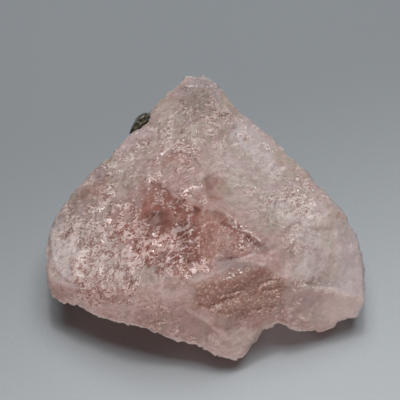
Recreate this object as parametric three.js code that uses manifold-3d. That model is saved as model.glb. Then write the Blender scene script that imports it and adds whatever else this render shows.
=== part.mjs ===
// A rough chunk of morganite, the pink beryl, with a small crust of dark mica on its back edge.
// Millimetres, +Z up. The chunk lies on its one flat cleavage face, and the origin is the middle
// of its footprint. It was broken out of a larger crystal, so its faces are flat breaks and
// shallow shell-shaped scars, and its lower faces lean in under it.

import * as THREE from "three";
import { ImprovedNoise } from "three/addons/math/ImprovedNoise.js";
import { TessellateModifier } from "three/addons/modifiers/TessellateModifier.js";
import { mergeVertices } from "three/addons/utils/BufferGeometryUtils.js";
import Module from "manifold-3d";

// --- Driving dimensions ---------------------------------------------------------------------

const SLANT = 58; // degrees above the horizon of the axis that the outline is drawn square to
const OUTLINE_CENTRE = [-1, 3.8, 10]; // where that axis passes through the outline
const OUTLINE_TAPER = 209.5; // the girdle's walls draw in to a point this far up the axis
const HALF_DEPTH = 34; // half the length of the rough block before its faces are broken off

const FACE_EDGE = 3.2; // longest triangle edge on the finished stone
const WAVE = { size: 0.3, length: 8 }; // broad unevenness of the broken faces
const TOOTH = { size: 0.13, length: 2.6 }; // fine unevenness
const FLAT_BELOW = 0.1; // the cleavage face stays flat up to here,
const ROUGH_ABOVE = 2.2; // and the unevenness is at full size from here up

const NOISE_LANE = 17.3; // how far apart the noise of the three axes is taken
const TESSELLATE_ROUNDS = 14;
const BALL_ROUND = 36; // segments round a scar's ball,
const BALL_DOWN = 20; // and from its top to its bottom

const BEDDING_GAP = 0.3; // the mica's bed is cut this much larger than the mica

// The girdle, where the upper breaks meet the lower ones: [across, up the slant].
const OUTLINE = [
  [-1, 21.6],
  [1.4, 20.6],
  [3.8, 18.2],
  [8, 14],
  [12.3, 10],
  [16.6, 6.3],
  [19.4, 2.9],
  [22.2, 0.3],
  [25.1, -2.9],
  [25.2, -4.3],
  [26.7, -6.2],
  [27.8, -10],
  [28.1, -13],
  [28, -16.5],
  [27.5, -19.2],
  [24.8, -20],
  [23.4, -21],
  [21.9, -22.4],
  [20.1, -22.9],
  [18, -22.6],
  [15.8, -21.8],
  [13.7, -20.6],
  [12.2, -21.6],
  [10.8, -22],
  [9.9, -23.6],
  [8.9, -25.3],
  [7.1, -27.5],
  [3.4, -26.3],
  [-0.6, -24.8],
  [-4, -23.6],
  [-7.4, -22.8],
  [-9.8, -22],
  [-13.2, -21.1],
  [-17.2, -20],
  [-20.6, -18.9],
  [-23.6, -17.6],
  [-25.4, -16.3],
  [-26.2, -11.6],
  [-26.4, -7.4],
  [-25, -4],
  [-22.6, 0.3],
  [-18.8, 4.2],
  [-16, 7],
  [-11.5, 12],
  [-8.2, 15.9],
  [-5.2, 18.9],
  [-2.4, 21.2],
];

// Flat breaks. Each faces the compass bearing "towards" (0 is +X, 90 is +Y) at "dip" degrees from
// level, so 0 faces up, 90 is upright and 180 faces down. A break with a width stops that far
// across, in a step.
const BREAKS = {
  leftCrown: { dip: 14, towards: 156, through: [-9.9, 1.8, 15.8] },
  rightCrown: { dip: 15, towards: 38, through: [9.2, 2.9, 15.8] },
  leftFore: { dip: 25, towards: 198, through: [-12.7, -6.7, 16] },
  rightFore: { dip: 30, towards: -22, through: [13.9, -6.9, 16.4] },
  apexBevel: { dip: 40, towards: 58, through: [1.6, 24.6, 14] },
  leftShoulder: { dip: 52, towards: 184, through: [-25.4, -6, 10.8] },
  leftBand: { dip: 76, towards: -118, through: [-16.6, -16.6, 10.7] },
  middleBand: { dip: 69, towards: -97, through: [-6.3, -18.2, 12] },
  frontFace: { dip: 62, towards: -70, through: [5, -18, 11.2], width: 15.4 },
  lobeFace: { dip: 72, towards: -73, through: [20.2, -15.6, 7.9], width: 16.6 },
  rightEnd: { dip: 56, towards: -14, through: [25.5, -10, 9.6] },
  frontUndercut: { dip: 135, towards: -115, through: [-24.6, -14.8, 7.8] },
  tipUndercut: { dip: 135, towards: -67, through: [5.7, -22.8, 1.8] },
  rightUndercut: { dip: 126, towards: 6, through: [26.3, -13, 3.8] },
  rightBack: { dip: 103, towards: 44, through: [15.8, 11.6, 9] },
  rightBackFoot: { dip: 126, towards: 52, through: [13.8, 10, 3] },
  leftBack: { dip: 99, towards: 139, through: [-14.8, 12.6, 9] },
  leftBackFoot: { dip: 124, towards: 128, through: [-11.8, 13, 3] },
  leftUndercut: { dip: 128, towards: 186, through: [-24.6, -8, 6] },
  apexUndercut: { dip: 116, towards: 92, through: [-1, 27, 7] },
  cleavage: { dip: 180, towards: 0, through: [0, 0, 0] },
};

// Shell-shaped scars. Each is a shallow dish of the given depth and ball radius.
const SCARS = {
  windowScar: { at: [-8, -2.2, 17.3], dip: 10, towards: 200, ball: 26, depth: 0.6 },
  recessScar: { at: [4.4, -8.2, 18.6], dip: 18, towards: -80, ball: 30, depth: 0.9 },
  veilScar: { at: [11, 5, 14.9], dip: 18, towards: 60, ball: 42, depth: 0.5 },
  bandScar: { at: [-14, -18, 10], dip: 76, towards: -112, ball: 20, depth: 0.6 },
  lobeScar: { at: [20.4, -9.4, 12], dip: 36, towards: -30, ball: 18, depth: 0.6 },
  undercutScar: { at: [-10, -14, 2.6], dip: 135, towards: -115, ball: 16, depth: 0.8 },
  leftBackScar: { at: [-7, 18.6, 5], dip: 108, towards: 134, ball: 26, depth: 0.8 },
  rightBackScar: { at: [8.6, 17, 5.2], dip: 108, towards: 48, ball: 24, depth: 0.8 },
  rightBackStep: { at: [18.4, 5.4, 5], dip: 108, towards: 40, ball: 20, depth: 0.8 },
};

// Mica books on the back edge: six-sided plates, each with its own lean. They draw in a little
// towards their inner face.
const MICA_BOOKS = [
  { at: [-11.1, 18.4, 13.2], radius: 1.3, thickness: 1.1, lean: 44, towards: 140 },
  { at: [-12.1, 17.2, 13], radius: 1.2, thickness: 1, lean: 60, towards: 156 },
  { at: [-12.7, 16.4, 12.7], radius: 0.9, thickness: 0.8, lean: 76, towards: 162 },
  { at: [-11.2, 18, 11.6], radius: 1.6, thickness: 1.5, lean: 98, towards: 138 },
  { at: [-10.3, 19.1, 12.9], radius: 0.9, thickness: 0.9, lean: 62, towards: 120 },
];
const PLATE_SIDES = 6;
const PLATE_DRAW = 0.92; // width of a plate's inner face as a share of its outer face

const MORGANITE_COLOUR = 0xc39a92;
const MICA_COLOUR = 0x2b241d;

// --- Solids ---------------------------------------------------------------------------------

const wasm = await Module();
wasm.setup();

const UP = new THREE.Vector3(0, 0, 1);
const BLOCK = 160; // side of the block that a flat break takes away

// The solid of a closed three.js geometry.
function solidOf(geometry) {
  const bare = new THREE.BufferGeometry();
  const loose = geometry.index ? geometry.toNonIndexed() : geometry;
  bare.setAttribute("position", loose.getAttribute("position"));
  const welded = mergeVertices(bare, 1e-4);
  return new wasm.Manifold(
    new wasm.Mesh({
      numProp: 3,
      vertProperties: welded.attributes.position.array,
      triVerts: new Uint32Array(welded.index.array),
    }),
  );
}

// The three.js geometry of a solid.
function geometryOf(solid) {
  const mesh = solid.getMesh();
  const geometry = new THREE.BufferGeometry();
  geometry.setAttribute("position", new THREE.BufferAttribute(mesh.vertProperties, 3));
  geometry.setIndex(new THREE.BufferAttribute(mesh.triVerts, 1));
  return geometry;
}

// The way that a face points, from its dip and bearing.
function facing({ dip, towards }) {
  const fromUp = THREE.MathUtils.degToRad(dip);
  const bearing = THREE.MathUtils.degToRad(towards);
  return new THREE.Vector3(
    Math.sin(fromUp) * Math.cos(bearing),
    Math.sin(fromUp) * Math.sin(bearing),
    Math.cos(fromUp),
  );
}

// What a flat break takes away: everything on the outer side of its plane.
function waste({ dip, towards, through, width = BLOCK }) {
  const block = new THREE.BoxGeometry(BLOCK, width, BLOCK).translate(0, 0, BLOCK / 2);
  block.rotateY(THREE.MathUtils.degToRad(dip)).rotateZ(THREE.MathUtils.degToRad(towards));
  return solidOf(block.translate(...through));
}

// What a shell-shaped scar takes away: a ball that dips below the face by the scar's depth.
function shell(scar) {
  const centre = facing(scar)
    .multiplyScalar(scar.ball - scar.depth)
    .add(new THREE.Vector3(...scar.at));
  const ball = new THREE.SphereGeometry(scar.ball, BALL_ROUND, BALL_DOWN);
  return solidOf(ball.translate(centre.x, centre.y, centre.z));
}

// The rough block: the outline carried along the slant, drawing in towards its upper end.
function roughBlock() {
  const shape = new THREE.Shape(OUTLINE.map(([across, up]) => new THREE.Vector2(across, up)));
  const block = new THREE.ExtrudeGeometry(shape, { depth: 2 * HALF_DEPTH, bevelEnabled: false });
  block.translate(0, 0, -HALF_DEPTH);
  const places = block.getAttribute("position");
  for (let i = 0; i < places.count; i++) {
    const draw = 1 - places.getZ(i) / OUTLINE_TAPER;
    places.setXY(i, places.getX(i) * draw, places.getY(i) * draw);
  }
  block.rotateX(THREE.MathUtils.degToRad(90 - SLANT));
  return solidOf(block.translate(...OUTLINE_CENTRE));
}

// Moves every point by smooth noise, so that no break is quite flat except the cleavage face.
function roughened(solid) {
  const fine = new TessellateModifier(FACE_EDGE, TESSELLATE_ROUNDS).modify(geometryOf(solid));
  const noise = new ImprovedNoise();
  const places = fine.getAttribute("position");
  const point = new THREE.Vector3();
  const sway = ({ size, length }, { x, y, z }, lane) =>
    size * noise.noise(x / length + lane, y / length + 2 * lane, z / length - lane);
  for (let i = 0; i < places.count; i++) {
    point.fromBufferAttribute(places, i);
    const full = THREE.MathUtils.smoothstep(point.z, FLAT_BELOW, ROUGH_ABOVE);
    const moved = [0, 1, 2].map((axis) => {
      const lane = NOISE_LANE * (axis + 1);
      return full * 2 * (sway(WAVE, point, lane) + sway(TOOTH, point, lane));
    });
    places.setXYZ(i, point.x + moved[0], point.y + moved[1], point.z + moved[2]);
  }
  return solidOf(fine);
}

// The mica crust, with every plate larger by "grow" on each side.
function micaCrust(grow) {
  return MICA_BOOKS.map((book) => {
    const plate = new THREE.CylinderGeometry(
      book.radius + grow,
      (book.radius + grow) * PLATE_DRAW,
      book.thickness + 2 * grow,
      PLATE_SIDES,
    );
    plate.rotateX(Math.PI / 2);
    const lean = facing({ dip: book.lean, towards: book.towards });
    plate.applyQuaternion(new THREE.Quaternion().setFromUnitVectors(UP, lean));
    return solidOf(plate.translate(...book.at));
  }).reduce((crust, plate) => crust.add(plate));
}

function morganite() {
  let stone = roughBlock();
  for (const face of Object.values(BREAKS)) stone = stone.subtract(waste(face));
  for (const scar of Object.values(SCARS)) stone = stone.subtract(shell(scar));
  return roughened(stone).subtract(micaCrust(BEDDING_GAP));
}

// --- The object -----------------------------------------------------------------------------

function piece(name, solid, material) {
  const mesh = new THREE.Mesh(geometryOf(solid), material);
  mesh.geometry.computeVertexNormals();
  mesh.name = name;
  return mesh;
}

const specimen = new THREE.Group();
specimen.add(
  piece(
    "morganite",
    morganite(),
    new THREE.MeshStandardMaterial({ color: MORGANITE_COLOUR, roughness: 0.45, metalness: 0 }),
  ),
  piece(
    "mica_crust",
    micaCrust(0),
    new THREE.MeshStandardMaterial({ color: MICA_COLOUR, roughness: 0.3, metalness: 0 }),
  ),
);

// The origin goes to the middle of the footprint's box, on the cleavage face.
const box = new THREE.Box3().setFromObject(specimen);
specimen.position.set(-(box.min.x + box.max.x) / 2, -(box.min.y + box.max.y) / 2, 0);

export default specimen;
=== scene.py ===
"""The looks of a rough chunk of morganite with a crust of dark mica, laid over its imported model."""

import itertools
import math

import bpy
import numpy as np
from mathutils import Matrix, Vector


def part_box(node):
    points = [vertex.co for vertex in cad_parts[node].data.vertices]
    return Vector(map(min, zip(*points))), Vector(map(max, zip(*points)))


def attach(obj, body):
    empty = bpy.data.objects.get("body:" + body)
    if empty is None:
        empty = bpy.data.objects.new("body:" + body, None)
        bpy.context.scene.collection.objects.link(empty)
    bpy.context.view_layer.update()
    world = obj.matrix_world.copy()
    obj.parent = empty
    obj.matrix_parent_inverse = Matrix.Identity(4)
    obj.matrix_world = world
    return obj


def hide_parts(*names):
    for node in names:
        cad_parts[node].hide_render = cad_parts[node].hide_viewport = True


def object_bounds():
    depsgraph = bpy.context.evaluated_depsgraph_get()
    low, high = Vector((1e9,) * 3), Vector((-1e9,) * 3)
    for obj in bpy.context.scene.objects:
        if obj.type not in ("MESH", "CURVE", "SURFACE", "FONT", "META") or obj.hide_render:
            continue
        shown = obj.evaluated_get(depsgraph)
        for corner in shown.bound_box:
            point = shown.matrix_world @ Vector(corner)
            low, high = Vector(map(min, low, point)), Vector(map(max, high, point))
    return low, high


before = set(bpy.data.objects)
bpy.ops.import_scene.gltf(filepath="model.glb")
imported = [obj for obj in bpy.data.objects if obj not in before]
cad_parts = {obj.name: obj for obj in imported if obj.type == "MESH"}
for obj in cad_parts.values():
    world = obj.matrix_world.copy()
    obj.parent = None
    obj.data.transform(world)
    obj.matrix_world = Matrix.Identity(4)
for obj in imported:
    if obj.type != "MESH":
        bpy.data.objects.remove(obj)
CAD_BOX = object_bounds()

bl_info = {
    "name": "Rough Morganite Chunk",
    "version": (1, 0, 0),
    "blender": (4, 5, 0),
    "location": "3D View > Sidebar > Morganite",
    "description": "Builds a rough chunk of morganite and its mica crust over the packed model",
    "category": "Add Mesh",
}

MM = 0.001

# --- The stone's chart -----------------------------------------------------------------------
#
# Its upper faces all look along one slanted axis. Places on them are given square to that axis,
# as (across, rise), each from -1 to 1 over the stone's own extent that way.

SLANT = math.radians(58)
CHART_RISE = np.array([0.0, math.sin(SLANT), math.cos(SLANT)])
CHART_OUT = np.array([0.0, -math.cos(SLANT), math.sin(SLANT)])

# The flakes and streaks run along a line that climbs to the right across the chart.
RUN_CLIMB = math.radians(32)
RUN = np.array([math.cos(RUN_CLIMB), 0, 0]) + math.sin(RUN_CLIMB) * CHART_RISE
RUN_TURN = Matrix.Rotation(math.pi / 2 - SLANT, 3, "X") @ Matrix.Rotation(RUN_CLIMB, 3, "Z")

# Ledges: lines along which the stone steps down on the right-hand side, going along the line.
# "drop" and "reach" are how deep the step is and how far the hollow below it runs, in mm.
# "clear" is how much deeper the eye sees into the stone there and "dark" how much painted shade
# darkens its foot.
# "glint" is how much its lip glints, where the stone is sheer: a painted glint in its colour
# and a glossier coat.
LEDGES = {
    "window_ledge": {
        "line": [
            (-0.46, 0.28), (-0.37, 0.23), (-0.3, 0.21), (-0.24, 0.17), (-0.21, 0.11),
            (-0.16, 0.08), (-0.09, 0.05), (-0.03, 0.04), (0.01, 0.0),
        ],
        "drop": 0.3, "reach": 4.5, "clear": 0.35, "dark": 0.5, "glint": 0.2,
    },
    "recess_ledge": {
        "line": [
            (-0.06, 0.06), (0.04, 0.03), (0.12, 0.0), (0.18, -0.07), (0.24, -0.12),
            (0.3, -0.16), (0.35, -0.21),
        ],
        "drop": 0.4, "reach": 4.0, "clear": 0.2, "dark": 0.4, "glint": 0.2,
    },
    "corner_ledge": {
        "line": [
            (-0.97, -0.2), (-0.95, -0.3), (-0.92, -0.38), (-0.87, -0.44), (-0.79, -0.47),
            (-0.71, -0.45), (-0.68, -0.41),
        ],
        "drop": 0.35, "reach": 2.0, "clear": 0.2, "dark": 0.0, "glint": 0.2,
    },
    "upper_ledge": {
        "line": [(-0.35, 0.35), (-0.26, 0.42), (-0.16, 0.42), (-0.06, 0.36), (0.0, 0.31)],
        "drop": 0.3, "reach": 2.5, "clear": 0.2, "dark": 0.2, "glint": 0.1,
    },
    "veil_ledge": {
        "line": [
            (0.19, 0.04), (0.27, 0.04), (0.34, 0.0), (0.4, -0.07), (0.48, -0.11),
            (0.53, -0.07), (0.59, -0.06), (0.68, -0.11), (0.78, -0.12), (0.86, -0.1),
        ],
        "drop": 0.4, "reach": 3.5, "clear": 0.1, "dark": 0.2, "glint": 0.3,
    },
    "pink_ledge": {
        "line": [(-0.03, 0.21), (0.02, 0.25), (0.09, 0.29), (0.17, 0.32)],
        "drop": 0.3, "reach": 3.0, "clear": 0.25, "dark": 0.2, "glint": 0.1,
    },
    "streak_upper": {
        "line": [(0.28, -0.5), (0.2, -0.51), (0.13, -0.53), (0.06, -0.57)],
        "drop": 0.2, "reach": 1.3, "clear": 0.2, "dark": 0.25, "glint": 0.8,
    },
    "streak_middle": {
        "line": [(0.23, -0.55), (0.18, -0.56), (0.1, -0.58), (0.04, -0.63), (-0.02, -0.65)],
        "drop": 0.22, "reach": 1.5, "clear": 0.3, "dark": 0.35, "glint": 1.0,
    },
    "streak_right": {
        "line": [(0.44, -0.44), (0.36, -0.48), (0.3, -0.5)],
        "drop": 0.2, "reach": 1.2, "clear": 0.2, "dark": 0.25, "glint": 0.9,
    },
    "streak_low_right": {
        "line": [(0.48, -0.5), (0.41, -0.53), (0.35, -0.55)],
        "drop": 0.2, "reach": 1.2, "clear": 0.2, "dark": 0.25, "glint": 0.8,
    },
    "streak_foot": {
        "line": [(0.45, -0.64), (0.38, -0.65), (0.3, -0.67)],
        "drop": 0.25, "reach": 1.0, "clear": 0.1, "dark": 0.25, "glint": 0.8,
    },
    "veil_row_upper": {
        "line": [(0.52, -0.12), (0.6, -0.12), (0.68, -0.16), (0.75, -0.19)],
        "drop": 0.25, "reach": 1.2, "clear": 0.05, "dark": 0.15, "glint": 0.9,
    },
    "veil_row_lower": {
        "line": [(0.5, -0.24), (0.58, -0.22), (0.66, -0.24), (0.74, -0.27)],
        "drop": 0.25, "reach": 1.2, "clear": 0.05, "dark": 0.15, "glint": 0.9,
    },
    "recess_row_upper": {
        "line": [(0.08, -0.06), (0.16, -0.08), (0.24, -0.14), (0.32, -0.21)],
        "drop": 0.25, "reach": 1.2, "clear": 0.15, "dark": 0.3, "glint": 0.6,
    },
    "recess_row_lower": {
        "line": [(0.33, -0.27), (0.25, -0.28), (0.18, -0.31), (0.11, -0.34)],
        "drop": 0.2, "reach": 1.0, "clear": 0.1, "dark": 0.2, "glint": 0.8,
    },
    "lobe_vein": {
        "line": [
            (0.9, -0.53), (0.82, -0.51), (0.76, -0.5), (0.68, -0.5), (0.6, -0.48), (0.54, -0.51),
        ],
        "drop": 0.4, "reach": 1.6, "clear": 0.2, "dark": 0.2, "glint": 1.0,
    },
}

# Ribs: lines that stand a little proud, "height" and "width" in mm, and show as pale veins.
RIBS = {
    "front_crest": {
        "line": [
            (-0.2, -0.5), (-0.12, -0.47), (-0.05, -0.44), (0.03, -0.41), (0.1, -0.38),
            (0.19, -0.35), (0.28, -0.33), (0.37, -0.36), (0.46, -0.41), (0.52, -0.46),
        ],
        "height": 0.12, "width": 0.5,
    },
    "milky_rib": {
        "line": [(0.34, -0.29), (0.42, -0.24), (0.51, -0.19), (0.57, -0.21), (0.7, -0.26)],
        "height": 0.2, "width": 0.6,
    },
    "field_foot": {
        "line": [
            (-0.93, -0.46), (-0.86, -0.53), (-0.77, -0.59), (-0.66, -0.62), (-0.54, -0.62),
            (-0.43, -0.59),
        ],
        "height": 0.1, "width": 0.35,
    },
    "band_crease": {
        "line": [
            (-0.15, -0.59), (-0.09, -0.65), (-0.01, -0.71), (0.07, -0.78), (0.16, -0.85),
            (0.23, -0.94),
        ],
        "height": 0.3, "width": 0.5,
    },
}

# Facets: areas of the stone's face with an outline that is "soft" mm wide. Each adds to some of
# the stone's layers, or takes away: clear (the eye sees in), frost (sugary), grey (cool), sheer
# (flecked in rows), pale, olive (greener) and shade (darker).
FACETS = {
    "window": {
        "outline": [
            (-0.39, 0.07), (-0.31, 0.1), (-0.23, 0.1), (-0.18, 0.08), (-0.12, 0.06), (-0.03, 0.04),
            (-0.03, -0.02), (-0.09, -0.06), (-0.18, -0.08), (-0.28, -0.1), (-0.35, -0.08),
            (-0.4, -0.02),
        ],
        "soft": 1.6, "clear": 0.5, "shade": 0.1,
    },
    "window_foot": {
        "outline": [
            (-0.4, -0.02), (-0.32, -0.06), (-0.2, -0.06), (-0.14, -0.12), (-0.2, -0.16),
            (-0.3, -0.15), (-0.4, -0.1),
        ],
        "soft": 1.6, "clear": 0.3, "shade": 0.2,
    },
    "window_brow": {
        "outline": [
            (-0.46, 0.28), (-0.36, 0.24), (-0.28, 0.22), (-0.23, 0.17), (-0.21, 0.12),
            (-0.28, 0.09), (-0.35, 0.08), (-0.41, 0.12), (-0.45, 0.19),
        ],
        "soft": 1.2, "clear": 0.2, "frost": 0.15,
    },
    "window_spark": {
        "outline": [(-0.17, 0.07), (-0.13, 0.08), (-0.09, 0.05), (-0.07, 0.02), (-0.12, 0.02)],
        "soft": 0.5, "clear": -0.8, "frost": 1.0, "shade": -0.4,
    },
    "window_heart": {
        "outline": [
            (-0.22, 0.06), (-0.16, 0.06), (-0.09, 0.05), (-0.03, 0.03), (-0.05, 0.0),
            (-0.12, 0.0), (-0.19, 0.01),
        ],
        "soft": 1.2, "clear": 0.6, "shade": 0.4,
    },
    "recess": {
        "outline": [
            (-0.03, 0.04), (0.04, 0.02), (0.17, -0.04), (0.3, -0.11), (0.36, -0.16),
            (0.36, -0.22), (0.33, -0.26), (0.24, -0.29), (0.13, -0.31), (0.05, -0.33),
            (-0.03, -0.34),
        ],
        "soft": 1.2, "clear": 0.2, "sheer": 0.5,
    },
    "recess_floor": {
        "outline": [
            (-0.03, 0.03), (0.03, 0.01), (0.1, -0.05), (0.13, -0.13), (0.13, -0.24),
            (0.07, -0.3), (-0.03, -0.34),
        ],
        "soft": 0.8, "clear": -0.25, "frost": -0.2, "olive": 0.4,
    },
    "recess_glints": {
        "outline": [
            (0.13, -0.15), (0.21, -0.09), (0.3, -0.13), (0.35, -0.2), (0.3, -0.26),
            (0.21, -0.29), (0.13, -0.3),
        ],
        "soft": 1.2, "frost": 0.15,
    },
    "front_facet": {
        "outline": [
            (-0.08, -0.53), (-0.02, -0.46), (0.08, -0.42), (0.17, -0.38), (0.28, -0.35),
            (0.36, -0.38), (0.44, -0.43), (0.49, -0.5), (0.48, -0.6), (0.44, -0.68),
            (0.36, -0.71), (0.27, -0.72), (0.18, -0.7), (0.05, -0.67), (-0.05, -0.63),
            (-0.09, -0.58),
        ],
        "soft": 1.3, "clear": 0.5, "frost": -0.15, "sheer": 0.9, "olive": 0.45,
        "shade": 0.05,
    },
    "corner_plate": {
        "outline": [
            (-0.98, -0.18), (-0.95, -0.3), (-0.92, -0.38), (-0.87, -0.44), (-0.79, -0.47),
            (-0.71, -0.45), (-0.68, -0.39), (-0.69, -0.29), (-0.72, -0.19), (-0.78, -0.09),
            (-0.87, -0.07), (-0.95, -0.12),
        ],
        "soft": 1.0, "clear": -0.5, "frost": 0.3, "pale": 0.85,
    },
    "glint_field": {
        "outline": [
            (-0.45, -0.14), (-0.34, -0.08), (-0.22, -0.09), (-0.12, -0.07), (-0.03, -0.09),
            (-0.03, -0.34), (-0.06, -0.41), (-0.15, -0.45), (-0.27, -0.42), (-0.38, -0.38),
            (-0.46, -0.25),
        ],
        "soft": 1.6, "frost": 0.5,
    },
    "field_shade": {
        "outline": [
            (-0.16, -0.04), (-0.03, -0.06), (-0.03, -0.34), (-0.1, -0.36), (-0.15, -0.28),
            (-0.18, -0.14),
        ],
        "soft": 1.6, "clear": 0.45, "frost": 0.25, "shade": 0.5,
    },
    "low_field": {
        "outline": [
            (-0.8, -0.2), (-0.67, -0.12), (-0.52, -0.12), (-0.42, -0.2), (-0.38, -0.33),
            (-0.39, -0.5), (-0.48, -0.58), (-0.59, -0.6), (-0.72, -0.57), (-0.82, -0.46),
        ],
        "soft": 2.0, "frost": 0.6,
    },
    "rose_patch": {
        "outline": [
            (-0.02, 0.18), (0.0, 0.23), (0.07, 0.25), (0.13, 0.23), (0.14, 0.14), (0.1, 0.08),
            (0.03, 0.08), (-0.02, 0.12),
        ],
        "soft": 1.2, "clear": 0.4, "frost": -0.4,
    },
    "brown_patch": {
        "outline": [
            (-0.26, 0.38), (-0.21, 0.41), (-0.14, 0.4), (-0.12, 0.35), (-0.17, 0.31),
            (-0.25, 0.32),
        ],
        "soft": 1.2, "clear": 0.45, "frost": -0.2,
    },
    "arm_patch": {
        "outline": [
            (-0.84, 0.09), (-0.8, 0.14), (-0.7, 0.21), (-0.62, 0.2), (-0.62, 0.1),
            (-0.7, 0.05), (-0.82, 0.04),
        ],
        "soft": 1.4, "clear": 0.35, "frost": -0.3, "shade": 0.2,
    },
    "apex_shade": {
        "outline": [
            (-0.17, 0.8), (-0.08, 0.86), (0.0, 0.85), (0.06, 0.77), (0.15, 0.7), (0.15, 0.6),
            (0.05, 0.58), (-0.1, 0.62), (-0.18, 0.7),
        ],
        "soft": 1.5, "frost": 0.2, "grey": 0.05, "sheer": 0.5, "shade": 0.25,
    },
    "apex_specks": {
        "outline": [
            (0.03, 0.79), (0.08, 0.8), (0.14, 0.75), (0.19, 0.69), (0.14, 0.64), (0.06, 0.69),
        ],
        "soft": 1.0, "frost": 0.3, "sheer": 0.8, "shade": 0.2,
    },
    "bevel": {
        "outline": [
            (-0.17, 0.9), (-0.11, 0.95), (-0.06, 0.98), (0.01, 0.96), (0.09, 0.89),
            (0.12, 0.8), (0.07, 0.82), (0.01, 0.88), (-0.06, 0.9), (-0.13, 0.85),
        ],
        "soft": 0.8, "frost": 0.1, "grey": 0.5, "sheer": 0.5, "shade": 0.3,
    },
    "right_rim": {
        "outline": [
            (0.2, 0.66), (0.27, 0.58), (0.38, 0.45), (0.48, 0.31), (0.41, 0.27),
            (0.32, 0.34), (0.25, 0.44), (0.18, 0.54),
        ],
        "soft": 2.4, "frost": 0.15, "grey": 0.5, "pale": 0.3,
    },
    "right_glints": {
        "outline": [
            (0.33, 0.05), (0.41, 0.12), (0.49, 0.16), (0.59, 0.17), (0.68, 0.09),
            (0.76, -0.03), (0.7, -0.09), (0.58, -0.05), (0.46, -0.03), (0.38, -0.02),
        ],
        "soft": 1.8, "frost": 0.3, "pale": 0.2,
    },
    "veil_glints": {
        "outline": [
            (0.48, -0.07), (0.58, -0.06), (0.68, -0.11), (0.72, -0.18), (0.62, -0.23),
            (0.52, -0.27), (0.46, -0.23), (0.49, -0.15),
        ],
        "soft": 1.4, "frost": 0.25, "sheer": 0.6,
    },
    "lobe_glints": {
        "outline": [
            (0.5, -0.43), (0.59, -0.38), (0.68, -0.43), (0.64, -0.48), (0.57, -0.51),
            (0.52, -0.48),
        ],
        "soft": 1.2, "frost": 0.3, "sheer": 0.6,
    },
    "lobe_band": {
        "outline": [
            (0.52, -0.46), (0.62, -0.44), (0.75, -0.45), (0.9, -0.49), (0.9, -0.56),
            (0.75, -0.54), (0.62, -0.53), (0.52, -0.53),
        ],
        "soft": 0.8, "sheer": 0.35,
    },
}

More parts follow.
